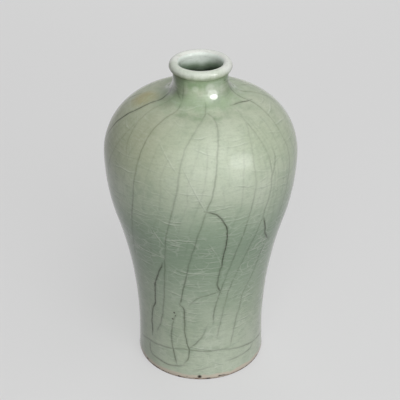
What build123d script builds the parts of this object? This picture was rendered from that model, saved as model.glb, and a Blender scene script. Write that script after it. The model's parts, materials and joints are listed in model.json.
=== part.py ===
from build123d import *
import os
from math import asin, atan2, cos, degrees, radians, sin, sqrt

# Meiping vase: thrown clay sections luted together with slip, under coats of glaze.
# Millimetres. +Z is up, and the origin is the centre of the foot, on the surface that the vase stands on.
# Every piece is a ring or a bowl, so each one is a half-section in XZ that is revolved about Z.

# Overall size, and the places where the wall stands upright
height = 260.0
waist_height = 26.0
waist_radius = 51.4
belly_swell = 23.2  # how far the belly stands out past the waist

# Curves of the wall, measured on the glazed outside
flare_share = 0.683  # share of the rise from waist to belly where the wall curves outwards
shoulder_radius = 47.4
shoulder_turn = 29.0  # degrees of the shoulder's arc, from upright at the belly
crown_radius = 44.3  # flatter top of the shoulder, up to the neck
neck_fillet = 16.0
neck_length = 3.5  # straight part of the neck
bore_radius = 16.5
neck_wall = 4.5
lip_overhang = 2.9  # how far the rolled lip stands out past the neck
lip_fillet = 3.0

# Thicknesses
body_wall = 4.8  # clay alone
glaze = 0.8
slip = 0.6

# Foot and floor
glaze_hem = 2.4  # height of the bare clay below the outer glaze
foot_chamfer = 0.6
foot_ring_width = 6.5
foot_draft = 1.5  # how far the ring's inner side leans in
foot_recess = 5.0
recess_fillet = 1.5
floor_thickness = 6.5  # clay alone
floor_fillet = 12.0
base_glaze_margin = 2.0  # bare clay round the glazed disc under the foot

# Seams between the thrown sections
foot_seam_height = 64.0
belly_seam_drop = 36.0  # below the belly
seam_bevel = 25.0  # degrees; each rim is cut so that the section above seats inside it

# Neck and lip, from the bore outwards
neck_radius = bore_radius + neck_wall
lip_bead = (neck_wall + lip_overhang) / 2
lip_centre_radius = bore_radius + lip_bead

# Whole wall, from glazed outside to glazed inside
wall = glaze + body_wall + glaze
inner_crown_radius = crown_radius - wall
inner_neck_fillet = neck_fillet + neck_wall

# Rise of the shoulder, neck and lip above the belly
belly_radius = waist_radius + belly_swell
crown_step = shoulder_radius - crown_radius
crown_centre_radius = belly_radius - shoulder_radius + crown_step * cos(radians(shoulder_turn))
crown_centre_rise = crown_step * sin(radians(shoulder_turn))
neck_centre_radius = neck_radius + neck_fillet
neck_offset = neck_centre_radius - crown_centre_radius
neck_rise = crown_centre_rise + sqrt((crown_radius + neck_fillet) ** 2 - neck_offset**2)
inner_neck_rise = crown_centre_rise + sqrt((inner_crown_radius + inner_neck_fillet) ** 2 - neck_offset**2)
under_lip_rise = neck_rise + neck_length
under_lip_offset = neck_radius + lip_fillet - lip_centre_radius
under_lip_drop = sqrt((lip_bead + lip_fillet) ** 2 - under_lip_offset**2)

# Heights, with the body taking up what the shoulder, neck and lip leave
belly_height = height - (under_lip_rise + under_lip_drop + lip_bead)
neck_height = belly_height + neck_rise
inner_neck_height = belly_height + inner_neck_rise
under_lip_height = belly_height + under_lip_rise
lip_height = height - lip_bead
floor_height = foot_recess + floor_thickness + glaze

# The flaring arc and the swelling arc share one tangent between waist and belly
rise = belly_height - waist_height
arc_sum = (belly_swell**2 + rise**2) / (2 * belly_swell)
flare_radius = flare_share * arc_sum
swell_radius = arc_sum - flare_radius
lean = degrees(asin(rise / arc_sum))

# Arc centres as (radius, height), and the angles where the arcs meet
flare_centre = (waist_radius + flare_radius, waist_height)
swell_centre = (belly_radius - swell_radius, belly_height)
shoulder_centre = (belly_radius - shoulder_radius, belly_height)
crown_centre = (crown_centre_radius, belly_height + crown_centre_rise)
neck_centre = (neck_centre_radius, neck_height)
inner_neck_centre = (neck_centre_radius, inner_neck_height)
under_lip_centre = (neck_radius + lip_fillet, under_lip_height)
lip_centre = (lip_centre_radius, lip_height)
crown_end = degrees(atan2(neck_rise - crown_centre_rise, neck_offset))
inner_crown_end = degrees(atan2(inner_neck_rise - crown_centre_rise, neck_offset))
lip_start = degrees(atan2(-under_lip_drop, under_lip_offset))

# The corner between the inner wall and the floor touches both
floor_corner_height = floor_height + floor_fillet
floor_corner_reach = flare_radius + wall + floor_fillet
floor_corner_angle = 180 - degrees(asin((floor_corner_height - waist_height) / floor_corner_reach))
floor_corner_radius = flare_centre[0] + floor_corner_reach * cos(radians(floor_corner_angle))
floor_corner = (floor_corner_radius, floor_corner_height)


def flare_angle(depth, level):
    """Angle at the flare's centre where the wall, at a depth under the glazed outside, reaches a level."""
    return 180 - degrees(asin((level - waist_height) / (flare_radius + depth)))


def flare_point(depth, level):
    """Point of the flare at a depth under the glazed outside and at a level."""
    reach = flare_radius + depth
    return (flare_centre[0] + reach * cos(radians(flare_angle(depth, level))), level)


def arc_between(centre, radius, start, end):
    """Arc about a centre, from one angle to another."""
    return CenterArc(centre, radius, start, end - start)


def outside_line(depth, level):
    """The wall's line at a depth under the glazed outside, from a level near the foot to the lip's crest."""
    arc_between(flare_centre, flare_radius + depth, flare_angle(depth, level), 180 - lean)
    arc_between(swell_centre, swell_radius - depth, -lean, 0)
    arc_between(shoulder_centre, shoulder_radius - depth, 0, shoulder_turn)
    arc_between(crown_centre, crown_radius - depth, shoulder_turn, crown_end)
    arc_between(neck_centre, neck_fillet + depth, crown_end + 180, 180)
    Line((neck_radius - depth, neck_height), (neck_radius - depth, under_lip_height))
    arc_between(under_lip_centre, lip_fillet + depth, 180, lip_start + 180)
    arc_between(lip_centre, lip_bead - depth, lip_start, 90)


def inside_line(depth):
    """The wall's line at a depth behind the glazed inside, from the lip's crest to the middle of the floor."""
    arc_between(lip_centre, lip_bead - depth, 90, 180)
    Line((bore_radius + depth, lip_height), (bore_radius + depth, inner_neck_height))
    arc_between(inner_neck_centre, inner_neck_fillet - depth, 180, inner_crown_end + 180)
    arc_between(crown_centre, inner_crown_radius + depth, inner_crown_end, shoulder_turn)
    arc_between(shoulder_centre, shoulder_radius - wall + depth, shoulder_turn, 0)
    arc_between(swell_centre, swell_radius - wall + depth, 0, -lean)
    arc_between(flare_centre, flare_radius + wall - depth, 180 - lean, floor_corner_angle)
    arc_between(floor_corner, floor_fillet + depth, floor_corner_angle - 180, -90)
    Line((floor_corner_radius, floor_height - depth), (0, floor_height - depth))


# Foot ring, from its chamfered outer edge to the recess
foot_edge = flare_point(glaze, foot_chamfer)
ring_outer = (foot_edge[0] - foot_chamfer, 0)
ring_inner = (ring_outer[0] - foot_ring_width, 0)
recess_rim = (ring_inner[0] - foot_draft, foot_recess)

# Half-section of all the clay under the glaze, before it is parted at the seams
with BuildSketch() as clay:
    with BuildLine():
        outside_line(glaze, foot_chamfer)
        inside_line(glaze)
        Polyline((0, floor_height - glaze), (0, foot_recess), recess_rim, ring_inner, ring_outer, foot_edge)
    make_face()
    fillet(clay.vertices().sort_by_distance((*recess_rim, 0))[0], recess_fillet)

# A cutting line at a seam is bevelled, and reaches past the wall on both sides
cut_reach = belly_radius + wall
cut_drop = cut_reach * sin(radians(seam_bevel))
cut_run = cut_reach * cos(radians(seam_bevel))
slip_step = slip / cos(radians(seam_bevel))  # slip measured straight up


def wall_middle(level):
    """Radius of the middle of the wall at a level between the waist and the belly."""
    if level < waist_height + rise * flare_share:
        outside = flare_point(0, level)[0]
    else:
        outside = swell_centre[0] + sqrt(swell_radius**2 - (level - belly_height) ** 2)
    return outside - wall / 2


def seam_line(middle, level, shift):
    """Ends of a cutting line through the wall, lower on the inside, shifted up by an amount."""
    inner_end = (middle - cut_run, level - cut_drop + shift)
    outer_end = (middle + cut_run, level + cut_drop + shift)
    return inner_end, outer_end


# The neck's seam points at the centre of the neck's fillet, so it is square to the wall
belly_seam_height = belly_height - belly_seam_drop
neck_seam_reach = neck_fillet + neck_wall / 2
neck_seam_radius = neck_centre_radius - neck_seam_reach * cos(radians(seam_bevel))
neck_seam_height = neck_height - neck_seam_reach * sin(radians(seam_bevel))
seams = {
    "foot": (wall_middle(foot_seam_height), foot_seam_height),
    "belly": (wall_middle(belly_seam_height), belly_seam_height),
    "neck": (neck_seam_radius, neck_seam_height),
}

# The slip fills each seam between a lower and an upper cutting line
under_slip = {seam: seam_line(*place, -slip_step / 2) for seam, place in seams.items()}
over_slip = {seam: seam_line(*place, slip_step / 2) for seam, place in seams.items()}
under_foot = ((-cut_reach, -cut_reach), (cut_reach, -cut_reach))
over_lip = ((-cut_reach, height + cut_reach), (cut_reach, height + cut_reach))


def clay_between(low_line, high_line):
    """The clay between two cutting lines, drawn into the sketch that is open."""
    add(clay.sketch)
    Polygon(*low_line, *reversed(high_line), align=None, mode=Mode.INTERSECT)


# Clay sections, from the foot upwards
with BuildPart() as foot_section:
    with BuildSketch(Plane.XZ):
        clay_between(under_foot, under_slip["foot"])
    revolve(axis=Axis.Z)

with BuildPart() as waist_section:
    with BuildSketch(Plane.XZ):
        clay_between(over_slip["foot"], under_slip["belly"])
    revolve(axis=Axis.Z)

with BuildPart() as shoulder_section:
    with BuildSketch(Plane.XZ):
        clay_between(over_slip["belly"], under_slip["neck"])
    revolve(axis=Axis.Z)

with BuildPart() as neck_collar:
    with BuildSketch(Plane.XZ):
        clay_between(over_slip["neck"], over_lip)
    revolve(axis=Axis.Z)

# Luting slip, one thin cone in each seam
with BuildPart() as foot_seam_slip:
    with BuildSketch(Plane.XZ):
        clay_between(under_slip["foot"], over_slip["foot"])
    revolve(axis=Axis.Z)

with BuildPart() as belly_seam_slip:
    with BuildSketch(Plane.XZ):
        clay_between(under_slip["belly"], over_slip["belly"])
    revolve(axis=Axis.Z)

with BuildPart() as neck_seam_slip:
    with BuildSketch(Plane.XZ):
        clay_between(under_slip["neck"], over_slip["neck"])
    revolve(axis=Axis.Z)

# Glaze coats: the outside and the inside meet on the lip's crest
hem_outer = flare_point(0, glaze_hem)
hem_inner = flare_point(glaze, glaze_hem)
hem_middle = ((hem_outer[0] + hem_inner[0]) / 2, glaze_hem - glaze / 2)
crest_outer = (lip_centre_radius, height)
crest_inner = (lip_centre_radius, height - glaze)

with BuildPart() as outer_glaze:
    with BuildSketch(Plane.XZ):
        with BuildLine():
            outside_line(0, glaze_hem)
            Line(crest_outer, crest_inner)
            outside_line(glaze, glaze_hem)
            ThreePointArc(hem_inner, hem_middle, hem_outer)
        make_face()
    revolve(axis=Axis.Z)

with BuildPart() as inner_glaze:
    with BuildSketch(Plane.XZ):
        with BuildLine():
            inside_line(0)
            Line((0, floor_height), (0, floor_height - glaze))
            inside_line(glaze)
            Line(crest_inner, crest_outer)
        make_face()
    revolve(axis=Axis.Z)

# Glazed disc in the recess under the foot, with a rounded edge
base_glaze_radius = recess_rim[0] - recess_fillet - base_glaze_margin
base_glaze_low = foot_recess - glaze
base_glaze_edge = (base_glaze_radius - glaze, base_glaze_low)

with BuildPart() as base_glaze:
    with BuildSketch(Plane.XZ):
        with BuildLine():
            Polyline((base_glaze_radius, foot_recess), (0, foot_recess), (0, base_glaze_low), base_glaze_edge)
            RadiusArc(base_glaze_edge, (base_glaze_radius, foot_recess), -glaze)
        make_face()
    revolve(axis=Axis.Z)

pieces = {
    "foot_section": foot_section,
    "waist_section": waist_section,
    "shoulder_section": shoulder_section,
    "neck_collar": neck_collar,
    "foot_seam_slip": foot_seam_slip,
    "belly_seam_slip": belly_seam_slip,
    "neck_seam_slip": neck_seam_slip,
    "outer_glaze": outer_glaze,
    "inner_glaze": inner_glaze,
    "base_glaze": base_glaze,
}

os.makedirs("parts", exist_ok=True)
for name, piece in pieces.items():
    piece.part.label = name
    export_step(piece.part, f"parts/{name}.step")
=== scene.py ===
import json
import random
from math import asin, atan2, ceil, cos, degrees, radians, sin, sqrt

import bmesh
import bpy
import numpy as np
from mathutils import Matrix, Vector
from mathutils.kdtree import KDTree


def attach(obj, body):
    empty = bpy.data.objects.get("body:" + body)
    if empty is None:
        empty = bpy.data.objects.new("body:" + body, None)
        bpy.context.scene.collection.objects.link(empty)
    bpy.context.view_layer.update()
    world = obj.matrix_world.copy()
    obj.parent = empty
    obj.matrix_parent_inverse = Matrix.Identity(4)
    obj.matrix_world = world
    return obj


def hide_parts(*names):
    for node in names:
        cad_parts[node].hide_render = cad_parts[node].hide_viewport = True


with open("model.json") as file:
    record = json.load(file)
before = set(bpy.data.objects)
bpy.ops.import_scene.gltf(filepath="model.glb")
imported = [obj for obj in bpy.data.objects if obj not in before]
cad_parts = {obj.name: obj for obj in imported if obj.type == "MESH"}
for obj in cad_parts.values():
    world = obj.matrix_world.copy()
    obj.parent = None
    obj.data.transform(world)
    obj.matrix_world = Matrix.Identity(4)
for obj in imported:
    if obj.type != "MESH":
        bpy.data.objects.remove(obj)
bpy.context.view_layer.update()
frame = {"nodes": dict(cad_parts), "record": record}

# Meiping vase: one uneven, crackled skin of celadon glaze over the clay, and a bare clay foot.
# Sizes are in millimetres, as in the part's source, and MM turns them into metres.
MM = 0.001
height = 260.0
waist_height = 26.0
waist_radius = 51.4
belly_swell = 23.2
flare_share = 0.683
shoulder_radius = 47.4
shoulder_turn = 29.0
crown_radius = 44.3
neck_fillet = 16.0
neck_length = 3.5
bore_radius = 16.5
neck_wall = 4.5
lip_overhang = 2.9
lip_fillet = 3.0
body_wall = 4.8
glaze = 0.8
glaze_hem = 2.4
foot_recess = 5.0
floor_thickness = 6.5
floor_fillet = 12.0

# The wall's arcs, worked out as in the part's source; centres are (radius, height)
neck_radius = bore_radius + neck_wall
lip_bead = (neck_wall + lip_overhang) / 2
wall = body_wall + 2 * glaze
belly_radius = waist_radius + belly_swell
crown_step = shoulder_radius - crown_radius
crown_rise = crown_step * sin(radians(shoulder_turn))
crown_centre_radius = belly_radius - shoulder_radius + crown_step * cos(radians(shoulder_turn))
neck_centre_radius = neck_radius + neck_fillet
neck_offset = neck_centre_radius - crown_centre_radius
neck_rise = crown_rise + sqrt((crown_radius + neck_fillet) ** 2 - neck_offset**2)
inner_neck_fillet = neck_fillet + neck_wall
inner_neck_rise = crown_rise + sqrt((crown_radius - wall + inner_neck_fillet) ** 2 - neck_offset**2)
under_lip_offset = neck_radius + lip_fillet - bore_radius - lip_bead
under_lip_drop = sqrt((lip_bead + lip_fillet) ** 2 - under_lip_offset**2)
belly_height = height - (neck_rise + neck_length + under_lip_drop + lip_bead)
rise = belly_height - waist_height
arc_sum = (belly_swell**2 + rise**2) / (2 * belly_swell)
flare_radius = flare_share * arc_sum
swell_radius = arc_sum - flare_radius
lean = degrees(asin(rise / arc_sum))
flare_centre = (waist_radius + flare_radius, waist_height)
swell_centre = (belly_radius - swell_radius, belly_height)
shoulder_centre = (belly_radius - shoulder_radius, belly_height)
crown_centre = (crown_centre_radius, belly_height + crown_rise)
neck_centre = (neck_centre_radius, belly_height + neck_rise)
inner_neck_centre = (neck_centre_radius, belly_height + inner_neck_rise)
under_lip_centre = (neck_radius + lip_fillet, neck_centre[1] + neck_length)
lip_centre = (bore_radius + lip_bead, height - lip_bead)
crown_end = degrees(atan2(neck_rise - crown_rise, neck_offset))
inner_crown_end = degrees(atan2(inner_neck_rise - crown_rise, neck_offset))
lip_start = degrees(atan2(-under_lip_drop, under_lip_offset))
floor_height = foot_recess + floor_thickness + glaze
floor_corner_height = floor_height + floor_fillet
floor_corner_reach = flare_radius + wall + floor_fillet
floor_corner_angle = 180 - degrees(asin((floor_corner_height - waist_height) / floor_corner_reach))
floor_corner_radius = flare_centre[0] + floor_corner_reach * cos(radians(floor_corner_angle))
floor_corner = (floor_corner_radius, floor_corner_height)

# Distances between the skin's rows, and how many columns go round the vase
outside_step = 1.5
inside_step = 10.0
back_step = 14.0
lip_step = 0.5
back_lip_step = 1.0
throat_ratio = 6  # how many times further apart the throat's rows are than the lip's
neck_rows = 3
bore_rows = 6
floor_shares = (0.0, 0.3, 0.65)  # rows of the floor, as shares of its flat part's radius
widest_turn = 20.0  # degrees of an arc from one row to the next
skin_columns = 272
spin_radius = 10.0  # circle that the half-section is carried round
weld_reach = 0.01  # points closer than this become one
unevenness = 0.45  # deepest dent left by the fingers
dent_seed = 3.0
crack_seed = 26


def arc(centre, radius, start, end, step):
    """Points of an arc about a centre, about one step apart, without its last point."""
    turn = abs(end - start)
    count = ceil(max(turn / widest_turn, radians(turn) * radius / step))
    angles = [radians(start + (end - start) * i / count) for i in range(count)]
    return [(centre[0] + radius * cos(a), centre[1] + radius * sin(a)) for a in angles]


def outside_rows(depth, step, fine):
    """Rows at a depth under the glazed outside, from the lip's crest down to the hem."""
    hem_reach = flare_radius + depth
    hem_angle = 180 - degrees(asin((glaze_hem - waist_height) / hem_reach))
    rows = arc(lip_centre, lip_bead - depth, 90, lip_start, fine)
    rows += arc(under_lip_centre, lip_fillet + depth, lip_start + 180, 180, fine)
    neck_top = under_lip_centre[1]
    rows += [(neck_radius - depth, neck_top - neck_length * i / neck_rows) for i in range(neck_rows)]
    rows += arc(neck_centre, neck_fillet + depth, 180, crown_end + 180, step)
    rows += arc(crown_centre, crown_radius - depth, crown_end, shoulder_turn, step)
    rows += arc(shoulder_centre, shoulder_radius - depth, shoulder_turn, 0, step)
    rows += arc(swell_centre, swell_radius - depth, 0, -lean, step)
    rows += arc(flare_centre, hem_reach, 180 - lean, hem_angle, step)
    return rows + [(flare_centre[0] + hem_reach * cos(radians(hem_angle)), glaze_hem)]


def inside_rows(depth, step, fine):
    """Rows at a depth behind the glazed inside, from the middle of the floor up to the lip's crest."""
    bore_low = inner_neck_centre[1]
    bore_length = lip_centre[1] - bore_low
    rows = [(floor_corner_radius * share, floor_height - depth) for share in floor_shares]
    rows += arc(floor_corner, floor_fillet + depth, -90, floor_corner_angle - 180, step)
    rows += arc(flare_centre, flare_radius + wall - depth, floor_corner_angle, 180 - lean, step)
    rows += arc(swell_centre, swell_radius - wall + depth, -lean, 0, step)
    rows += arc(shoulder_centre, shoulder_radius - wall + depth, 0, shoulder_turn, step)
    rows += arc(crown_centre, crown_radius - wall + depth, shoulder_turn, inner_crown_end, step)
    throat = inner_neck_fillet - depth
    rows += arc(inner_neck_centre, throat, inner_crown_end + 180, 180, fine * throat_ratio)
    rows += [(bore_radius + depth, bore_low + bore_length * i / bore_rows) for i in range(bore_rows)]
    return rows + arc(lip_centre, lip_bead - depth, 180, 90, fine)


# The skin's half-section: up the inside, over the lip, down the outside, round the hem, back along the clay
outside = outside_rows(0, outside_step, lip_step)
clay_side = outside_rows(glaze, back_step, back_lip_step)[::-1]
clay_side += inside_rows(glaze, back_step, back_lip_step)[::-1]
hem_middle = ((outside[-1][0] + clay_side[0][0]) / 2, glaze_hem)
hem_roll = arc(hem_middle, glaze / 2, 0, -180, glaze / 4)[1:]
half_section = inside_rows(0, inside_step, lip_step) + outside + hem_roll + clay_side


class Nodes:
    """Adds nodes to a tree and joins them up. A value is a socket, or a plain number, vector or colour."""

    def __init__(self, tree):
        self.tree = tree

    def join(self, value, socket):
        """Links a socket to a node's input, or sets the input to a plain value."""
        if isinstance(value, bpy.types.NodeSocket):
            self.tree.links.new(value, socket)
        else:
            socket.default_value = value

    def add(self, kind, values=(), **settings):
        """A new node, with its settings made before its inputs are joined."""
        node = self.tree.nodes.new(kind)
        for key, setting in settings.items():
            setattr(node, key, setting)
        for key, value in dict(values).items():
            self.join(value, node.inputs[key])
        return node

    def math(self, operation, first, second=0.0):
        """One sum of one or two numbers."""
        return self.add("ShaderNodeMath", {0: first, 1: second}, operation=operation).outputs[0]

    def product(self, *values):
        """All the values multiplied together."""
        total = values[0]
        for value in values[1:]:
            total = self.math("MULTIPLY", total, value)
        return total

    def most(self, *values):
        """The largest of the values."""
        top = values[0]
        for value in values[1:]:
            top = self.math("MAXIMUM", top, value)
        return top

    def vector(self, operation, first, second=(0, 0, 0)):
        """One sum of one or two vectors; a distance is a number."""
        node = self.add("ShaderNodeVectorMath", {0: first, 1: second}, operation=operation)
        return node.outputs["Value" if operation == "DISTANCE" else "Vector"]

    def fade(self, value, start, end, low=0.0, high=1.0):
        """Goes smoothly from low to high as the value goes from start to end."""
        values = {"Value": value, "From Min": start, "From Max": end, "To Min": low, "To Max": high}
        return self.add("ShaderNodeMapRange", values, interpolation_type="SMOOTHSTEP").outputs["Result"]

    def mix(self, share, first, second):
        """The first colour, moved a share of the way to the second."""
        node = self.add("ShaderNodeMix", {"Factor": share}, data_type="RGBA")
        colours = [socket for socket in node.inputs if socket.type == "RGBA"]
        self.join(first, colours[0])
        self.join(second, colours[1])
        return next(socket for socket in node.outputs if socket.type == "RGBA")

    def noise(self, place, scale, detail=3.0, roughness=0.5):
        """A soft pattern about 0.5; the scale is in patches for each metre."""
        values = {"Vector": place, "Scale": scale, "Detail": detail, "Roughness": roughness}
        return self.add("ShaderNodeTexNoise", values).outputs[0]


def new_group(name, kind, inputs, outputs):
    """A node group with named sockets; an input is (name, type, value) and an output is (name, type)."""
    tree = bpy.data.node_groups.new(name, kind)
    for label, socket, value in inputs:
        made = tree.interface.new_socket(label, in_out="INPUT", socket_type="NodeSocket" + socket)
        if value is not None:
            made.default_value = value
    for label, socket in outputs:
        tree.interface.new_socket(label, in_out="OUTPUT", socket_type="NodeSocket" + socket)
    nodes = Nodes(tree)
    return tree, nodes, nodes.add("NodeGroupInput").outputs, nodes.add("NodeGroupOutput").inputs


def thrown_skin():
    """Carries a half-section round the vase's axis and dents it a little, as fingers do on the wheel."""
    inputs = [
        ("Half section", "Geometry", None),
        ("Columns", "Int", 64),
        ("Spin radius", "Float", 0.01),
        ("Unevenness", "Float", 0.0),
        ("Dents per metre", "Float", 20.0),
        ("Seed", "Float", 0.0),
        ("Glaze", "Material", None),
    ]
    tree, nodes, given, made = new_group("thrown_skin", "GeometryNodeTree", inputs, [("Skin", "Geometry")])
    line = nodes.add("GeometryNodeMeshToCurve", {0: given["Half section"]})
    circle = {"Resolution": given["Columns"], "Radius": given["Spin radius"]}
    ring = nodes.add("GeometryNodeCurvePrimitiveCircle", circle)
    spin = {"Curve": ring.outputs[0], "Profile Curve": line.outputs[0]}
    turned = nodes.add("GeometryNodeCurveToMesh", spin)
    weld = {0: turned.outputs[0], "Distance": weld_reach * MM}
    welded = nodes.add("GeometryNodeMergeByDistance", weld)
    # Dents are wider than they are tall, like finger rings, and they only ever cut inwards
    place = nodes.add("GeometryNodeInputPosition").outputs[0]
    flattened = nodes.vector("MULTIPLY", place, (1.0, 1.0, 2.5))
    pattern = {"Vector": flattened, "W": given["Seed"], "Scale": given["Dents per metre"], "Detail": 1.0}
    dents = nodes.add("ShaderNodeTexNoise", pattern, noise_dimensions="4D")
    inwards = nodes.vector("NORMALIZE", nodes.vector("MULTIPLY", place, (-1.0, -1.0, 0.0)))
    depth = nodes.math("MULTIPLY", dents.outputs[0], given["Unevenness"])
    shift = nodes.add("ShaderNodeVectorMath", {0: inwards, "Scale": depth}, operation="SCALE")
    dented = nodes.add("GeometryNodeSetPosition", {0: welded.outputs[0], "Offset": shift.outputs[0]})
    smooth = nodes.add("GeometryNodeSetShadeSmooth", {0: dented.outputs[0]})
    real = nodes.add("GeometryNodeRealizeInstances", {0: smooth.outputs[0]})
    coated = nodes.add("GeometryNodeSetMaterial", {0: real.outputs[0], "Material": given["Glaze"]})
    nodes.join(coated.outputs[0], made["Skin"])
    return tree


def throw(name, rows, inputs):
    """Runs a half-section of (radius, height) rows through the tree; gives a plain piece at the origin."""
    line = bpy.data.meshes.new(name + "_line")
    points = [((radius - spin_radius) * MM, -level * MM, 0.0) for radius, level in rows]
    line.from_pydata(points, [(i, i + 1) for i in range(len(points) - 1)], [])
    holder = bpy.data.objects.new(name + "_line", line)
    bpy.context.scene.collection.objects.link(holder)
    modifier = holder.modifiers.new("throw", "NODES")
    modifier.node_group = thrown_skin()
    for item in modifier.node_group.interface.items_tree:
        if item.in_out == "INPUT" and item.name in inputs:
            modifier[item.identifier] = inputs[item.name]
    bpy.context.view_layer.update()
    evaluated = holder.evaluated_get(bpy.context.evaluated_depsgraph_get())
    mesh = bpy.data.meshes.new_from_object(evaluated)
    bpy.data.objects.remove(holder)
    mesh.name = name
    shape = bmesh.new()
    shape.from_mesh(mesh)
    bmesh.ops.recalc_face_normals(shape, faces=shape.faces)
    shape.to_mesh(mesh)
    shape.free()
    piece = bpy.data.objects.new(name, mesh)
    bpy.context.scene.collection.objects.link(piece)
    return piece


# Cracks in the glaze: darkness at the start and the end, then points as (degrees round the vase, height).
# 0 degrees is the front, and right is positive. Neighbours are in different layers, so that they can meet.
# The last of the first long cracks is a short one near the foot.
first_long_cracks = [
    (1.0, 0.7, [(-72, 241), (-74, 234), (-72, 228), (-76, 222), (-81, 208), (-88, 180), (-97, 150)]),
    (0.25, 0.4, [(-34, 237), (-33, 232), (-39, 226), (-40, 208), (-41, 187), (-45, 158), (-57, 110)]),
    (0.2, 0.55, [(7, 233), (14, 231), (14, 226), (10, 212), (7, 189), (3, 173), (-6, 130), (-17, 76)]),
    (0.25, 0.3, [(42, 228), (43, 221), (45, 206), (44, 185), (41, 167), (32, 124), (22, 86), (15, 42)]),
    (0.35, 0.2, [(73, 245), (79, 237), (80, 232), (73, 229), (68, 223), (65, 213), (64, 198), (56, 150)]),
    (0.5, 0.3, [(-10, 32), (-3, 39), (2, 46), (6, 56)]),
]
second_long_cracks = [
    (0.2, 0.2, [(-54, 238), (-61, 232), (-58, 226), (-60, 215), (-64, 202), (-70, 175), (-77, 140)]),
    (0.25, 0.4, [(8, 238), (7, 233), (-3, 228), (-11, 216), (-14, 184), (-22, 143), (-34, 65), (-43, 39)]),
    (0.12, 0.45, [(50, 232), (42, 228), (36, 219), (33, 205), (32, 185), (21, 115), (12, 75), (11, 58)]),
    (0.3, 0.3, [(53, 135), (48, 122), (44, 100), (37, 82), (35, 70), (30, 43), (28, 31)]),
]
hooked_cracks = [
    (0.95, 0.75, [(3, 174), (9, 171), (14, 162), (16, 150), (15, 123), (13, 105), (13, 96), (16, 89)]),
    (0.8, 0.9, [(40, 158), (42, 152), (44, 144), (46, 138), (53, 129)]),
    (0.9, 0.8, [(50, 233), (66, 232), (80, 231)]),
    (0.8, 0.9, [(-28, 116), (-33, 105), (-39, 90), (-42, 70), (-46, 62), (-49, 48), (-50, 33)]),
    (1.0, 0.6, [(-17, 76), (-14, 70), (-14, 50), (-12, 35), (-10, 30), (-11, 22), (-15, 15)]),
    (0.25, 0.8, [(-21, 66), (-25, 55), (-27, 40), (-26, 29), (-22, 13)]),
    (0.3, 0.2, [(-58, 226), (-54, 214), (-50, 205)]),
    (0.35, 0.3, [(50, 210), (50, 204), (47, 197), (44, 190)]),
    (0.25, 0.35, [(-9, 77), (-1, 85), (15, 90)]),
    (0.3, 0.4, [(-57, 243), (-36, 237)]),
]
ring_cracks = [
    (0.35, 0.4, [
        (-72, 20), (-54, 24), (-31, 27), (-14, 30), (4, 29), (18, 29), (33, 26), (59, 21), (80, 18),
    ]),
    (0.4, 0.35, [
        (80, 18), (101, 20), (128, 26), (160, 29), (190, 26), (221, 30), (250, 27), (275, 22), (288, 20),
    ]),
    (0.25, 0.35, [(-38, 249), (-34, 237)]),
]
foot_cracks = [
    (0.45, 0.65, [(-54, 24), (-54, 16), (-50, 12), (-40, 11), (-28, 10), (-14, 14)]),
    (0.4, 0.3, [(57, 21), (52, 17), (43, 16), (25, 16)]),
    (0.25, 0.2, [(-5, 10), (11, 13)]),
    (0.45, 0.6, [(150, 28), (152, 19), (159, 13), (178, 11)]),
    (0.4, 0.5, [(221, 30), (226, 20), (233, 8)]),
    (0.35, 0.5, [(262, 25), (256, 16), (243, 13)]),
]
pale_cracks = [
    (0.5, 0.7, [(-29, 220), (-19, 210), (-14, 204)]),
    (0.7, 0.6, [(-29, 200), (-16, 186)]),
    (0.5, 0.8, [(-10, 207), (-4, 193), (3, 175)]),
    (0.9, 0.8, [(-28, 165), (-20, 161), (-11, 161)]),
    (0.8, 0.8, [(-30, 151), (-23, 136)]),
    (0.9, 0.9, [(-22, 144), (-13, 146), (-3, 146)]),
    (0.9, 0.8, [(0, 151), (4, 146), (11, 130)]),
    (0.8, 0.8, [(-24, 125), (-12, 120)]),
    (0.9, 0.9, [(-16, 113), (-8, 111), (9, 111)]),
    (0.9, 0.9, [(-29, 89), (-15, 85)]),
    (0.8, 0.9, [(18, 131), (33, 122)]),
    (0.8, 0.8, [(-11, 97), (-1, 96)]),
]

# The outside as (radius, height) rows, and how far each lies below the lip's crest along the wall
wall_rows = np.array(outside)
wall_falls = np.concatenate([[0], np.cumsum(np.hypot(*np.diff(wall_rows, axis=0).T))])
wall_slopes = np.gradient(wall_rows, axis=0)
wall_facings = np.degrees(np.unwrap(np.arctan2(wall_slopes[:, 0], -wall_slopes[:, 1])))
under_lip = wall_rows[:, 1] < under_lip_centre[1]


def fall_of(level):
    """How far a height lies below the lip's crest, along the wall."""
    return float(np.interp(-level, -wall_rows[under_lip, 1], wall_falls[under_lip]))


def on_wall(turn, fall):
    """Points of the outside, from degrees round the vase and distances along the wall from the crest."""
    radius = np.interp(fall, wall_falls, wall_rows[:, 0])
    level = np.interp(fall, wall_falls, wall_rows[:, 1])
    angle = np.radians(turn)
    return np.stack([radius * np.sin(angle), -radius * np.cos(angle), level], -1)


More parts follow.
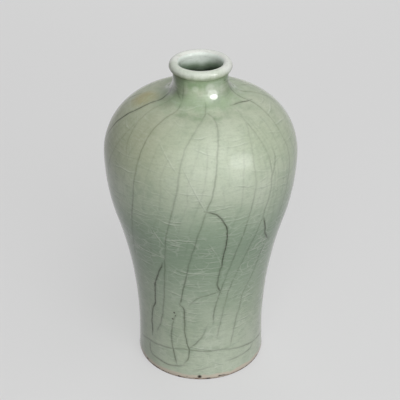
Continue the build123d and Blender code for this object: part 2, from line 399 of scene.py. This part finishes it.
def crack_line(path, step=0.8):
    """A smooth line of points on the wall through a path's points, and the way aside from it at each."""
    p = np.array([(turn, fall_of(level)) for turn, level in path])
    p = np.concatenate([[2 * p[0] - p[1]], p, [2 * p[-1] - p[-2]]])
    line = []
    for a, b, c, d in zip(p, p[1:], p[2:], p[3:]):
        count = max(2, int(np.linalg.norm(on_wall(*b) - on_wall(*c)) / step))
        t = np.linspace(0, 1, count)[:, None]
        # Twice the Catmull-Rom curve from b to c
        curve = 2 * b + (c - a) * t + (2 * a - 5 * b + 4 * c - d) * t**2 + (3 * b - a - 3 * c + d) * t**3
        line.append(curve / 2)
    turn, fall = np.concatenate(line).T
    line = on_wall(turn, fall)
    angle = np.radians(turn)
    facing = np.radians(np.interp(fall, wall_falls, wall_facings))
    flat = np.cos(facing)
    outward = np.stack([flat * np.sin(angle), -flat * np.cos(angle), np.sin(facing)], -1)
    aside = np.cross(outward, np.gradient(line, axis=0))
    return line, aside / np.maximum(np.linalg.norm(aside, axis=1), 1e-6)[:, None]


def crack_layer(cracks, places):
    """For each place: distance aside from the nearest crack, distance in all, and the crack's darkness."""
    end_strength = 0.35
    growth = 0.12  # a crack gains this much of its darkness with each point from its ends
    spots, asides, darks = [], [], []
    for start, end, path in cracks:
        line, aside = crack_line(path)
        spots.append(line)
        asides.append(aside)
        steps = np.arange(len(line))
        taper = np.minimum(1.0, end_strength + growth * np.minimum(steps, steps[::-1]))
        darks.append(np.linspace(start, end, len(line)) * taper)
    spots, asides, darks = np.concatenate(spots), np.concatenate(asides), np.concatenate(darks)
    tree = KDTree(len(spots))
    for i, place in enumerate(spots):
        tree.insert(place, i)
    tree.balance()
    found = [tree.find(place) for place in places]
    nearest = np.array([index for _, index, _ in found])
    near = np.array([distance for _, _, distance in found])
    aside = ((places - spots[nearest]) * asides[nearest]).sum(1)
    return np.stack([aside, near, darks[nearest]], -1)


def back_cracks(chance):
    """Long cracks for the side that the front ones don't reach, which lean and wander as those do."""
    crown_level = 234
    cracks = []
    turn = 102.0
    last_turn = 268.0
    while turn < last_turn:
        top = chance.choice([crown_level, crown_level, 231, 228, 200])
        low = chance.choice([35, 48, 60, 95])
        sway = 0.0
        path = []
        for level in np.linspace(top, low, 9):
            sway += chance.uniform(-1.8, 1.8)
            leaning = 32 * ((crown_level - level) / 200) ** 1.2
            path.append((turn + sway - leaning, level))
        cracks.append((chance.uniform(0.2, 0.6), chance.uniform(0.3, 0.7), path))
        turn += chance.uniform(10, 22)
    return cracks


def hooks(chance, cracks):
    """Short dark cracks that leave the long ones sideways and then run down beside them."""
    steps = [(0, 0), (4, -2), (8, -9), (10, -20), (9, -40), (10, -55)]  # (degrees aside, millimetres up)
    made = []
    for _, _, path in cracks:
        turn, level = chance.choice(path[1:5])
        side = chance.choice([-1, 1])
        reach = chance.uniform(0.5, 1.1)
        hook = [(turn + side * reach * aside, level + reach * up) for aside, up in steps]
        made.append((0.8, 0.6, hook))
    return made


def rungs(chance, posts):
    """Pale cracks like the uneven rungs of a ladder, between each long crack and the next one round."""
    layers = [[], [], []]
    top = 238.0
    low = 8.0
    for left, right in zip(posts, posts[1:]):
        level = top - chance.uniform(0, 8)
        count = 0
        while level > low:
            slope = chance.uniform(-5, 3)
            ends = sorted([chance.choice([0.0, 0.0, 0.25, 0.5]), chance.choice([0.6, 0.8, 1.0, 1.0])])
            path = []
            for share in np.linspace(*ends, 4):
                here = level + slope * share + chance.uniform(-0.7, 0.7)
                path.append((left(here) + (right(here) - left(here)) * share, here))
            if min(here for _, here in path) > low:
                strength = chance.uniform(0.2, 1.0)
                layers[count % len(layers)].append((strength, strength * chance.uniform(0.3, 1.0), path))
            level -= chance.uniform(3.5, 8)
            count += 1
    return layers


def threads(chance, posts):
    """Faint cracks that run down between each long crack and the next one round."""
    shares = (0.3, 0.68)  # how far from one long crack to the next each thread lies
    layers = [[], []]
    for left, right in zip(posts, posts[1:]):
        for layer, share in zip(layers, shares):
            path = []
            for level in np.linspace(chance.uniform(215, 232), chance.uniform(110, 175), 7):
                here = share + chance.uniform(-0.08, 0.08)
                path.append((left(level) + (right(level) - left(level)) * here, level))
            layer.append((chance.uniform(0.05, 0.13), chance.uniform(0.03, 0.1), path))
    return layers


def post(path, wind=0.0):
    """A long crack as a function that gives its degrees round the vase at any height."""
    levels, turns = zip(*sorted((level, turn + wind) for turn, level in path))
    return lambda level: float(np.interp(level, levels, turns))


def all_cracks():
    """Every layer of cracks by name."""
    chance = random.Random(crack_seed)
    behind = back_cracks(chance)
    posts = [path for _, _, path in first_long_cracks[:-1] + second_long_cracks + behind]
    posts.sort(key=lambda path: np.mean([turn for turn, _ in path]))
    ladder = [post(path) for path in posts] + [post(posts[0], 360.0)]
    fine = rungs(chance, ladder)
    faint = threads(chance, ladder)
    return {
        "first_long": first_long_cracks + behind[::2],
        "second_long": second_long_cracks + behind[1::2],
        "hooked": hooked_cracks + hooks(chance, behind[::3]),
        "rings": ring_cracks,
        "foot": foot_cracks,
        "threads_1": faint[0],
        "threads_2": faint[1],
        "pale": pale_cracks,
        "rungs_1": fine[0],
        "rungs_2": fine[1],
        "rungs_3": fine[2],
    }


STAINED = ["first_long", "second_long", "hooked", "rings", "foot", "threads_1", "threads_2"]
FINE = ["pale", "rungs_1", "rungs_2", "rungs_3"]
FAR_AWAY = 99.0  # stored where no crack can show


def mark_cracks(skin):
    """Stores each layer of cracks on the skin's outside as a vector: aside, near, darkness."""
    places = np.zeros(len(skin.data.vertices) * 3, np.float32)
    skin.data.vertices.foreach_get("co", places)
    places = places.reshape(-1, 3).astype(float) / MM
    order = np.argsort(wall_rows[:, 1])
    wall_radius = np.interp(places[:, 2], wall_rows[order, 1], wall_rows[order, 0])
    outer = np.hypot(places[:, 0], places[:, 1]) > wall_radius - unevenness - glaze / 4
    for name, cracks in all_cracks().items():
        values = np.full(places.shape, FAR_AWAY, np.float32)
        values[outer] = crack_layer(cracks, places[outer])
        layer = skin.data.attributes.new(name, "FLOAT_VECTOR", "POINT")
        layer.data.foreach_set("vector", values.ravel())


def colour(red, green, blue):
    """A colour as it looks on screen, 0 to 255, for a shader."""
    return (*[((c / 255 + 0.055) / 1.055) ** 2.4 for c in (red, green, blue)], 1.0)


def crack_group():
    """One layer of cracks as a soft line."""
    inputs = [
        ("Layer", "Vector", None),
        ("Shift", "Float", 0.0),
        ("Half width", "Float", 0.2),
        ("Feather", "Float", 0.8),
    ]
    tree, nodes, given, made = new_group("crack", "ShaderNodeTree", inputs, [("Line", "Float")])
    parts = nodes.add("ShaderNodeSeparateXYZ", {0: given["Layer"]}).outputs
    aside = nodes.math("ABSOLUTE", nodes.math("ADD", parts[0], given["Shift"]))
    edge = nodes.math("ADD", given["Half width"], given["Feather"])
    line = nodes.fade(aside, given["Half width"], edge, 1.0, 0.0)
    reach = (1.4, 2.6)  # millimetres from its path over which a crack fades out
    close = nodes.fade(parts[1], *reach, 1.0, 0.0)
    nodes.join(nodes.product(line, close, parts[2]), made["Line"])
    return tree


def glaze_group():
    """What both glazes have: clouds, flecks, a faint ripple, pinholes and a net of the finest cracks."""
    inputs = [("Place", "Vector", None), ("Clouds per metre", "Float", 22.0), ("Pinholes", "Float", 0.05)]
    outputs = [(name, "Float") for name in ("Cloud", "Fleck", "Ripple", "Pinhole", "Net")]
    tree, nodes, given, made = new_group("glaze_depth", "ShaderNodeTree", inputs, outputs)
    place = given["Place"]
    nodes.join(nodes.noise(place, given["Clouds per metre"], 4.0, 0.55), made["Cloud"])
    nodes.join(nodes.noise(place, 700.0, 2.0), made["Fleck"])
    nodes.join(nodes.noise(place, 140.0, 2.0), made["Ripple"])
    cells = nodes.add("ShaderNodeTexVoronoi", {"Vector": place, "Scale": 95.0})
    pick = nodes.add("ShaderNodeSeparateColor", {0: cells.outputs["Color"]})
    rare = nodes.math("LESS_THAN", pick.outputs[0], given["Pinholes"])
    dot = nodes.fade(cells.outputs["Distance"], 0.03, 0.05, 1.0, 0.0)
    nodes.join(nodes.product(rare, dot), made["Pinhole"])
    bent = nodes.add("ShaderNodeTexNoise", {"Vector": place, "Scale": 60.0}).outputs["Color"]
    strayed = nodes.vector("ADD", place, nodes.vector("MULTIPLY", bent, (0.012, 0.012, 0.012)))
    flattened = nodes.vector("MULTIPLY", strayed, (0.6, 0.6, 1.2))
    tiles = {"Vector": flattened, "Scale": 150.0}
    cracked = nodes.add("ShaderNodeTexVoronoi", tiles, feature="DISTANCE_TO_EDGE")
    nodes.join(nodes.fade(cracked.outputs["Distance"], 0.02, 0.07, 1.0, 0.0), made["Net"])
    return tree


def new_material(name):
    """A material; gives it with its nodes, its shader's inputs and its Object coordinates."""
    material = bpy.data.materials.new(name)
    material.use_nodes = True
    nodes = Nodes(material.node_tree)
    shader = material.node_tree.nodes["Principled BSDF"].inputs
    return material, nodes, shader, nodes.add("ShaderNodeTexCoord").outputs["Object"]


def bump(nodes, shader, depth, reach):
    """Feeds a height to the shader's normal; the reach is in millimetres."""
    node = nodes.add("ShaderNodeBump", {"Strength": 1.0, "Distance": reach * MM, "Height": depth})
    nodes.join(node.outputs[0], shader["Normal"])


def spot(nodes, place, turn, level, size):
    """A soft spot on the outside, at degrees round the vase and a height."""
    centre = tuple(on_wall(turn, fall_of(level)) * MM)
    return nodes.fade(nodes.vector("DISTANCE", place, centre), size * MM * 0.3, size * MM, 1.0, 0.0)


CRACK = crack_group()
GLAZE = glaze_group()

# Colours of the glaze and of the light and shade painted on it, of the lines and marks in it, and of the
# clay and the slip
celadon_body = colour(194, 207, 182)
# Milky glaze, and also the colour of a painted sheen on the belly
celadon_milky_and_painted_light = colour(212, 222, 201)
celadon_low = colour(150, 173, 147)
celadon_warm = colour(170, 173, 142)
celadon_pooled = colour(170, 191, 155)
celadon_drip = colour(143, 169, 129)
celadon_ring = colour(150, 172, 140)
# Painted shadow down the bore
celadon_bore_shadow = colour(46, 54, 44)
celadon_thin = colour(231, 239, 225)
# The lip's thin glaze with painted light on it
celadon_thin_and_lit = colour(250, 252, 246)
# Painted shade
celadon_painted_shade = colour(82, 94, 66)
# Painted light on the top of the bore
celadon_bore_painted_light = colour(240, 250, 241)
celadon_rusty = colour(172, 156, 88)
stain = colour(52, 56, 32)
pale_line = colour(228, 235, 220)
dark_line = colour(118, 134, 110)
blush = colour(220, 210, 192)
iron = colour(46, 34, 26)
clay_buff = colour(190, 172, 154)
clay_pale = colour(216, 204, 188)
clay_stained = colour(128, 96, 78)
clay_burnt = colour(72, 50, 40)
slip_buff = colour(202, 182, 164)
slip_pale = colour(222, 206, 190)

# Heights over which the glaze and the light and shade painted on it change, from where a change starts to
# where it is complete
# Below the belly: partly a deeper glaze, partly painted shade under its overhang
body_deepens_in_shade = (192, 135)
foot_clears = (130, 30)
foot_pales = (34, 8)
shoulder_warms = (170, 225)
ring_starts = (229.5, 235)
ring_ends = (244, 238)
runs_start = (229, 240)
pool_starts = (241, 249)
drips_start = (244.5, 250.5)
neck_ends = (255, 250.5)
flanks_start = (235, 241)
lip_starts = (249, 253)
lip_ends = (258.5, 254.5)
# The bore's pale top is painted light, and its darkening further down is painted shade
bore_pales = (245, 252)
bore_dims = (253.4, 246.5)
bore_darkens = (250.8, 242)
throat_starts = (220, 228)
crackle_starts = (238, 224)
crackle_shades = (205, 165)
crackle_brightens = (200, 150)
net_shows = (225, 130)
blush_starts = (7.6, 6.4)
burns_start = (5.2, 4.4)
gloss_rises = (235, 250)
coat_starts = (252, 256)

# Distances right of the axis over which it changes, then one behind it and one out from it
left_warms = (20, -70)
neck_middle_ends = (12, 34)
# Painted shade on the left and right flanks
left_flank_darkens = (-6, -18)
right_flank_darkens = (12, 21)
# Painted light on the back and right of the lip
lip_lit_back = (-8, 6)
bore_edge = (bore_radius + 1.1, bore_radius + 0.5)

# A darker run down the bore, along which its painted shade starts higher: its distance right of the axis,
# and how it fades to its sides
bore_run = 9.0
bore_run_fades = (1.5, 7.5)

# Where the thin glaze of the lip begins on the outside, and how much lower it does in the bore
thin_line = 253.5
thin_line_drop = 7.5

# How far the edges of the thick glaze and of the painted shade waver up and down, on the body, on the neck
# and in the bore
body_waver = 60.0
neck_waver = 9.0
bore_waver = 1.35

# Soft spots on the glaze, as (degrees round the vase, height, size); the belly's sheen and the crown's
# shade are painted light and shade
belly_painted_sheen = (8, 204, 50)
rusty_patch = (-88, 230, 15)
crown_painted_shade = (-67, 234, 16)
pale_neck_spots = [(19, 247, 4.5), (-11, 246, 3.5)]
pits = [(-23, 66, 1.3), (-25, 59, 1.2), (-22, 63, 0.9), (59, 249, 1.0), (64, 247, 0.8)]
chips = [(-1, 3.5, 2.4), (17, 2.2, 1.6), (-58, 2.4, 2.0)]
glossy_drops = [(29, 244, 12), (118, 241, 10), (204, 243, 11), (286, 241, 10)]

# Lines of the cracks, as (shift aside, half width, feather)
fine_line = (0.0, 0.08, 0.7)
fine_shadow = (0.8, 0.08, 0.8)
stained_line = (0.0, 0.1, 0.95)
stained_halo = (0.0, 0.5, 3.0)
crack_wander = 2.2


class CeladonGlaze:
    """The glaze: cloudy grey-green, thin on the lip and pooled under it, with stained and pale cracks, and
    painted light and shade.
    """

    def __init__(self):
        self.material, self.nodes, self.shader, self.place = new_material("celadon_glaze")
        nodes = self.nodes
        # Millimetres to the right of the axis, behind it and up from the foot
        parts = nodes.add("ShaderNodeSeparateXYZ", {0: self.place}).outputs
        self.right, self.rear, self.level = [nodes.math("MULTIPLY", part, 1 / MM) for part in parts]
        depth = nodes.add("ShaderNodeGroup", {"Place": self.place}, node_tree=GLAZE)
        self.cloud, self.fleck, self.ripple, self.pinhole, self.net = depth.outputs
        self.streak = nodes.noise(nodes.vector("MULTIPLY", self.place, (1.0, 1.0, 0.12)), 170.0, 2.0)
        self.wavy = self.waver(self.streak, neck_waver)
        plan = nodes.vector("MULTIPLY", self.place, (1 / MM, 1 / MM, 0.0))
        radius = nodes.vector("DISTANCE", plan, (0, 0, 0))
        self.bore = nodes.fade(radius, *bore_edge)
        self.outside = nodes.math("SUBTRACT", 1.0, self.bore)
        self.left_flank_shade = nodes.fade(self.right, *left_flank_darkens, 0.0, 0.6)
        wander = nodes.math("SUBTRACT", nodes.noise(self.place, 130.0), 0.5)
        self.wander = nodes.math("MULTIPLY", wander, crack_wander)

        self.tone = nodes.mix(nodes.fade(self.cloud, 0.35, 0.7), celadon_body, celadon_milky_and_painted_light)
        self.colour_body()
        self.colour_neck()
        self.colour_lip()
        self.colour_bore()
        self.colour_cracks()
        self.colour_marks()
        self.join_shader()

    def tint(self, shade, *shares):
        """Moves the tone towards a colour, by the product of some shares."""
        self.tone = self.nodes.mix(self.nodes.product(*shares), self.tone, shade)

    def waver(self, pattern, reach):
        """The height, moved up and down by a pattern."""
        shift = self.nodes.math("MULTIPLY", self.nodes.math("SUBTRACT", pattern, 0.5), reach)
        return self.nodes.math("ADD", self.level, shift)

    def spots(self, *places):
        """The strongest of some soft spots."""
        return self.nodes.most(*[spot(self.nodes, self.place, *at) for at in places])

    def lines(self, names, shift, half_width, feather):
        """The strongest line among some layers of cracks, which wander a little from their paths."""
        made = []
        for name in names:
            values = {
                "Layer": self.nodes.add("ShaderNodeAttribute", attribute_name=name).outputs["Vector"],
                "Shift": self.nodes.math("ADD", self.wander, shift),
                "Half width": half_width,
                "Feather": feather,
            }
            made.append(self.nodes.add("ShaderNodeGroup", values, node_tree=CRACK).outputs["Line"])
        return self.nodes.most(*made)

    def colour_body(self):
        """Cooler and deeper below the belly, partly glaze and partly painted shade, and warmer on the
        shoulder, most of all on its left.
        """
        fade = self.nodes.fade
        blotch = self.nodes.noise(self.place, 120.0, 3.0, 0.6)
        drift = self.nodes.noise(self.place, 11.0, 2.0)
        self.tint(celadon_low, fade(blotch, 0.42, 0.7, 0.0, 0.3))
        # Painted shade under the belly's overhang, over a deeper glaze there, fading towards the foot
        below_belly_shade = fade(self.waver(drift, body_waver), *body_deepens_in_shade, 0.0, 0.9)
        self.tint(celadon_low, below_belly_shade, fade(self.level, *foot_clears, 1.0, 0.1))
        self.tint(celadon_milky_and_painted_light, fade(self.level, *foot_pales, 0.0, 0.45))
        leftness = fade(self.right, *left_warms, 0.3, 1.0)
        patches = fade(drift, 0.3, 0.7, 0.5, 1.0)
        self.tint(celadon_warm, fade(self.level, *shoulder_warms), patches, leftness)
        # Painted sheen: a milky patch over the front of the belly
        self.tint(celadon_milky_and_painted_light, self.spots(belly_painted_sheen), fade(self.cloud, 0.3, 0.6, 0.2, 0.45))
        self.tint(celadon_rusty, self.spots(rusty_patch), fade(self.cloud, 0.3, 0.6, 0.25, 0.6))
        # Painted shade on the left of the crown
        self.tint(celadon_painted_shade, self.spots(crown_painted_shade), 0.3)

    def colour_neck(self):
        """Runs down the neck in streaks and pools under the lip, with a darker ring at its base, partly
        painted shade, and painted shade on its flanks.
        """
        fade = self.nodes.fade
        under_lip = self.nodes.product(fade(self.wavy, *neck_ends), self.outside)
        # Partly pooled glaze and partly painted shade: a darker ring at the neck's base, strongest at its
        # front and back
        middle = fade(self.nodes.math("ABSOLUTE", self.right), *neck_middle_ends, 0.7, 0.2)
        ring = self.nodes.product(fade(self.wavy, *ring_starts), fade(self.level, *ring_ends))
        self.tint(celadon_ring, ring, middle, self.outside)
        pool = self.nodes.product(fade(self.wavy, *pool_starts), 0.95)
        runs = self.nodes.product(fade(self.wavy, *runs_start), fade(self.streak, 0.42, 0.62), 0.6)
        self.tint(celadon_pooled, self.nodes.most(pool, runs), under_lip)
        drips = fade(self.streak, 0.36, 0.64, 0.15, 0.75)
        self.tint(celadon_drip, fade(self.wavy, *drips_start), under_lip, drips)
        # Two pale spots on the front of the neck, under the lip
        self.tint(celadon_milky_and_painted_light, self.spots(*pale_neck_spots), 0.6)
        # Painted shade on the neck's flanks, under the lip
        flanks = self.nodes.most(self.left_flank_shade, fade(self.right, *right_flank_darkens, 0.0, 0.38))
        self.tint(celadon_painted_shade, flanks, under_lip, fade(self.level, *flanks_start))

    def colour_lip(self):
        """Thin on the lip, with painted light making it palest at its back and right, and painted shade on
        the left of its roll.
        """
        fade, math = self.nodes.fade, self.nodes.math
        edge = math("SUBTRACT", thin_line, math("MULTIPLY", self.bore, thin_line_drop))
        thin = fade(math("SUBTRACT", self.wavy, edge), 0.0, 6.0, 0.0, 0.9)
        # Painted light: the thin glaze on the lip gets paler towards its back and right
        rightward = math("MULTIPLY", self.nodes.most(self.right, 0.0), 0.9)
        lit_back_right = fade(math("ADD", self.rear, rightward), *lip_lit_back)
        self.tint(self.nodes.mix(lit_back_right, celadon_thin, celadon_thin_and_lit), thin)
        # Painted shade on the left of the lip's roll
        roll = self.nodes.product(fade(self.level, *lip_starts), fade(self.level, *lip_ends))
        self.tint(celadon_painted_shade, self.left_flank_shade, roll, self.outside)

    def colour_bore(self):
        """Painted light at the top of the bore and painted shade down it, reaching higher at the front and
        along one run.
        """
        fade, math = self.nodes.fade, self.nodes.math
        # Painted light on the top of the bore
        self.tint(celadon_bore_painted_light, self.bore, fade(self.level, *bore_pales), 0.85)
        # Painted shade down the bore, starting higher at the front and along one run
        front_drop = math("MULTIPLY", math("SUBTRACT", bore_radius, self.rear), 0.35)
        beside_run = math("ABSOLUTE", math("SUBTRACT", self.right, bore_run))
        run_drop = fade(beside_run, *bore_run_fades, 2.0, 0.3)
        sunk = math("SUBTRACT", self.waver(self.streak, bore_waver), math("ADD", front_drop, run_drop))
        self.tint(celadon_low, self.bore, fade(sunk, *bore_dims))
        throat = fade(self.level, *throat_starts)
        self.tint(celadon_bore_shadow, self.bore, fade(sunk, *bore_darkens), throat, 0.97)

    def colour_cracks(self):
        """A net of the finest cracks, fine pale ones with a shadow, and stained ones with a halo."""
        fade, noise = self.nodes.fade, self.nodes.noise
        broken = fade(noise(self.place, 60.0, 2.0), 0.3, 0.65)
        uneven = self.nodes.product(broken, fade(self.level, *crackle_starts, 0.3, 1.0))
        self.pale = self.nodes.product(self.lines(FINE, *fine_line), uneven)
        self.stained = self.lines(STAINED, *stained_line)
        self.tint(pale_line, self.net, uneven, fade(self.level, *net_shows, 0.07, 0.28))
        shadow = self.nodes.product(self.lines(FINE, *fine_shadow), uneven)
        self.tint(dark_line, shadow, fade(self.level, *crackle_shades, 0.65, 1.0), 0.5)
        self.tint(pale_line, self.pale, fade(self.level, *crackle_brightens, 0.5, 0.65))
        self.tint(stain, self.lines(STAINED, *stained_halo), 0.16)
        broad_patches = fade(noise(self.place, 45.0, 2.0), 0.3, 0.6, 0.5, 1.0)
        small_patches = fade(noise(self.place, 200.0), 0.3, 0.6, 0.75, 1.0)
        self.tint(stain, self.stained, broad_patches, small_patches)

    def colour_marks(self):
        """Throwing rings, flecks, pits and pinholes, and a blush and chips above the bare foot."""
        fade, noise = self.nodes.fade, self.nodes.noise
        grain = noise(self.nodes.vector("MULTIPLY", self.place, (0.25, 0.25, 1.5)), 500.0, 2.0, 0.6)
        self.tint(dark_line, fade(grain, 0.5, 0.75, 0.0, 0.13))
        self.tint(pale_line, fade(grain, 0.5, 0.25, 0.0, 0.1))
        self.tint(dark_line, fade(self.fleck, 0.45, 0.8, 0.0, 0.14))
        edge = self.nodes.math("ADD", self.level, self.nodes.math("MULTIPLY", self.ripple, 4.0))
        self.tint(blush, fade(edge, *blush_starts, 0.0, 0.95))
        burn_patches = fade(noise(self.place, 110.0, 3.0), 0.56, 0.62)
        burns = self.nodes.product(burn_patches, fade(edge, *burns_start, 0.0, 0.8))
        dots = self.nodes.product(self.nodes.most(self.pinhole, self.spots(*pits)), 0.85)
        self.holes = self.nodes.most(dots, burns, self.spots(*chips))
        self.tint(iron, self.holes)

    def join_shader(self):
        """Joins up colour, gloss and bump; a clear coat shines on the lip and on some drops below it."""
        nodes, shader = self.nodes, self.shader
        nodes.join(self.tone, shader["Base Color"])
        clear = nodes.fade(self.cloud, 0.3, 0.7, 0.07, 0.12)
        gloss = nodes.product(clear, nodes.fade(self.level, *gloss_rises, 1.0, 0.8))
        nodes.join(nodes.math("ADD", gloss, nodes.math("MULTIPLY", self.holes, 0.5)), shader["Roughness"])
        shader["IOR"].default_value = 1.4
        lip_coat = nodes.fade(self.level, *coat_starts, 0.0, 0.22)
        nodes.join(nodes.most(lip_coat, self.spots(*glossy_drops)), shader["Coat Weight"])
        shader["Coat Roughness"].default_value = 0.04
        shader["Coat IOR"].default_value = 2.6
        sunk = nodes.most(nodes.product(self.stained, 0.5), nodes.product(self.pale, 0.3), self.holes)
        bump(nodes, shader, nodes.math("SUBTRACT", nodes.math("MULTIPLY", self.ripple, 0.5), sunk), 0.12)


def bare_clay():
    """Fired clay: pinkish buff and gritty, burnt dark along the edge that it stands on."""
    material, nodes, shader, place = new_material("bare_clay")
    level = nodes.math("MULTIPLY", nodes.add("ShaderNodeSeparateXYZ", {0: place}).outputs[2], 1 / MM)
    grit = nodes.noise(place, 500.0, 4.0, 0.65)
    stains = nodes.noise(place, 70.0, 3.0, 0.6)
    tone = nodes.mix(nodes.fade(grit, 0.35, 0.7), clay_buff, clay_pale)
    tone = nodes.mix(nodes.fade(stains, 0.52, 0.64), tone, clay_stained)
    low = nodes.math("SUBTRACT", level, nodes.math("MULTIPLY", stains, 1.6))
    tone = nodes.mix(nodes.fade(low, -0.2, 0.5, 0.9, 0.0), tone, clay_burnt)
    tone = nodes.mix(nodes.fade(nodes.noise(place, 150.0, 3.0, 0.6), 0.6, 0.64), tone, iron)
    nodes.join(tone, shader["Base Color"])
    nodes.join(nodes.fade(grit, 0.3, 0.7, 0.75, 0.95), shader["Roughness"])
    bump(nodes, shader, grit, 0.2)
    return material


def luting_slip():
    """The slip in the seams, a little paler and finer than the clay."""
    material, nodes, shader, place = new_material("luting_slip")
    grit = nodes.noise(place, 800.0, 3.0)
    nodes.join(nodes.mix(grit, slip_buff, slip_pale), shader["Base Color"])
    nodes.join(nodes.fade(grit, 0.3, 0.7, 0.8, 0.95), shader["Roughness"])
    bump(nodes, shader, grit, 0.1)
    return material


def base_celadon():
    """The glaze under the foot: the same green, with more pinholes."""
    material, nodes, shader, place = new_material("base_celadon")
    values = {"Place": place, "Clouds per metre": 40.0, "Pinholes": 0.15}
    cloud, fleck, ripple, pinhole, _ = nodes.add("ShaderNodeGroup", values, node_tree=GLAZE).outputs
    tone = nodes.mix(nodes.fade(cloud, 0.3, 0.7), celadon_low, celadon_milky_and_painted_light)
    tone = nodes.mix(nodes.fade(fleck, 0.5, 0.8, 0.0, 0.3), tone, dark_line)
    tone = nodes.mix(pinhole, tone, iron)
    nodes.join(tone, shader["Base Color"])
    nodes.join(nodes.fade(cloud, 0.3, 0.7, 0.12, 0.22), shader["Roughness"])
    shader["IOR"].default_value = 1.5
    bump(nodes, shader, ripple, 0.1)
    return material


finishes = {"clay": bare_clay(), "slip": luting_slip(), "glaze": base_celadon()}
for subpart in frame["record"]["subparts"]:
    node = frame["nodes"][subpart["node"]]
    node.data.materials.clear()
    node.data.materials.append(finishes[subpart["material_slot"]])

skin_inputs = {
    "Columns": skin_columns,
    "Spin radius": spin_radius * MM,
    "Unevenness": unevenness * MM,
    "Seed": dent_seed,
    "Glaze": CeladonGlaze().material,
}
skin = throw("glaze_skin", half_section, skin_inputs)
mark_cracks(skin)
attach(skin, "root")
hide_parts("outer_glaze", "inner_glaze")

# How the floor and the sky light the vase, and how bright they are where they are seen
floor_grey = colour(120, 120, 120)
floor_seen_grey = colour(138, 138, 138)
floor_glow = 0.48
sky_strength = 0.1
sky_seen_strength = 0.52


def seen_share(nodes):
    """1 for what the camera sees, straight or in gloss or glass, and 0 for light that falls on things."""
    rays = nodes.add("ShaderNodeLightPath").outputs
    return nodes.most(rays["Is Camera Ray"], rays["Is Glossy Ray"], rays["Is Transmission Ray"])


def pale_floor(half):
    """A plain pale floor, brighter where it is seen, which keeps the vase's shadow."""
    mesh = bpy.data.meshes.new("floor")
    corners = [(-half, -half, 0), (half, -half, 0), (half, half, 0), (-half, half, 0)]
    mesh.from_pydata(corners, [], [(0, 1, 2, 3)])
    floor = bpy.data.objects.new("floor", mesh)
    bpy.context.scene.collection.objects.link(floor)
    material, nodes, shader, _ = new_material("floor_paper")
    seen = seen_share(nodes)
    glow = (floor_glow, floor_glow, floor_glow, 1)
    nodes.join(nodes.mix(seen, floor_grey, floor_seen_grey), shader["Base Color"])
    nodes.join(nodes.mix(seen, (0, 0, 0, 1), glow), shader["Emission Color"])
    shader["Emission Strength"].default_value = 1.0
    shader["Roughness"].default_value = 0.9
    shader["Specular IOR Level"].default_value = 0.0
    mesh.materials.append(material)


def soft_lamp(name, azimuth, elevation, distance, size, power, lights=True, shines=True):
    """A round lamp that faces the middle of the vase; azimuth 0 is the front, and right is positive.

    A lamp that only lights shows no patch in the gloss, and one that only shines is just such a patch.
    """
    lamp = bpy.data.lights.new(name, "AREA")
    lamp.shape = "DISK"
    lamp.size = size
    lamp.energy = power
    turn = radians(azimuth)
    tilt = radians(elevation)
    way = Vector((sin(turn) * cos(tilt), -cos(turn) * cos(tilt), sin(tilt)))
    holder = bpy.data.objects.new(name, lamp)
    holder.location = Vector((0, 0, height * MM / 2)) + way * distance
    holder.rotation_euler = way.to_track_quat("Z", "Y").to_euler()
    holder.visible_diffuse = lights
    holder.visible_glossy = shines
    bpy.context.scene.collection.objects.link(holder)


def studio_sky():
    """An even sky, pale grey where it is seen."""
    world = bpy.data.worlds.new("studio")
    world.use_nodes = True
    nodes = Nodes(world.node_tree)
    sky = world.node_tree.nodes["Background"].inputs
    sky["Color"].default_value = (1, 1, 1, 1)
    strength = nodes.fade(seen_share(nodes), 0.0, 1.0, sky_strength, sky_seen_strength)
    nodes.join(strength, sky["Strength"])
    bpy.context.scene.world = world


pale_floor(half=20.0)

# Lamps: azimuth and elevation in degrees, distance and size in metres, power in watts
soft_lamp("key_lamp", 14, 34, 1.8, 2.0, 27.0, shines=False)
soft_lamp("top_lamp", 60, 68, 1.8, 1.2, 6.0, shines=False)
soft_lamp("sheen", 8, 40, 1.8, 2.2, 10.0, lights=False)
soft_lamp("large_softbox", 46, 11, 1.5, 1.1, 3.2, lights=False)
soft_lamp("small_softbox", 51, 27, 1.5, 0.7, 3.4, lights=False)
soft_lamp("back_lamp", 180, 22, 1.8, 1.6, 12.0, shines=False)
studio_sky()

# The camera was found from the ellipses of the lip and the foot in the photograph
photo_width = 400
axis_pixel = 200.7  # column of the vase's axis
focal_pixels = 1133.1
camera_distance = 768.0
camera_height = 601.1
camera_pitch = 30.98

lens = bpy.data.cameras.new("camera")
lens.sensor_width = 36.0
lens.lens = lens.sensor_width * focal_pixels / photo_width
lens.shift_x = (photo_width / 2 - axis_pixel) / photo_width
camera = bpy.data.objects.new("camera", lens)
camera.location = (0, -camera_distance * MM, camera_height * MM)
camera.rotation_euler = (radians(90 - camera_pitch), 0, 0)
bpy.context.scene.collection.objects.link(camera)
bpy.context.scene.camera = camera
bpy.context.scene.view_settings.view_transform = "Standard"
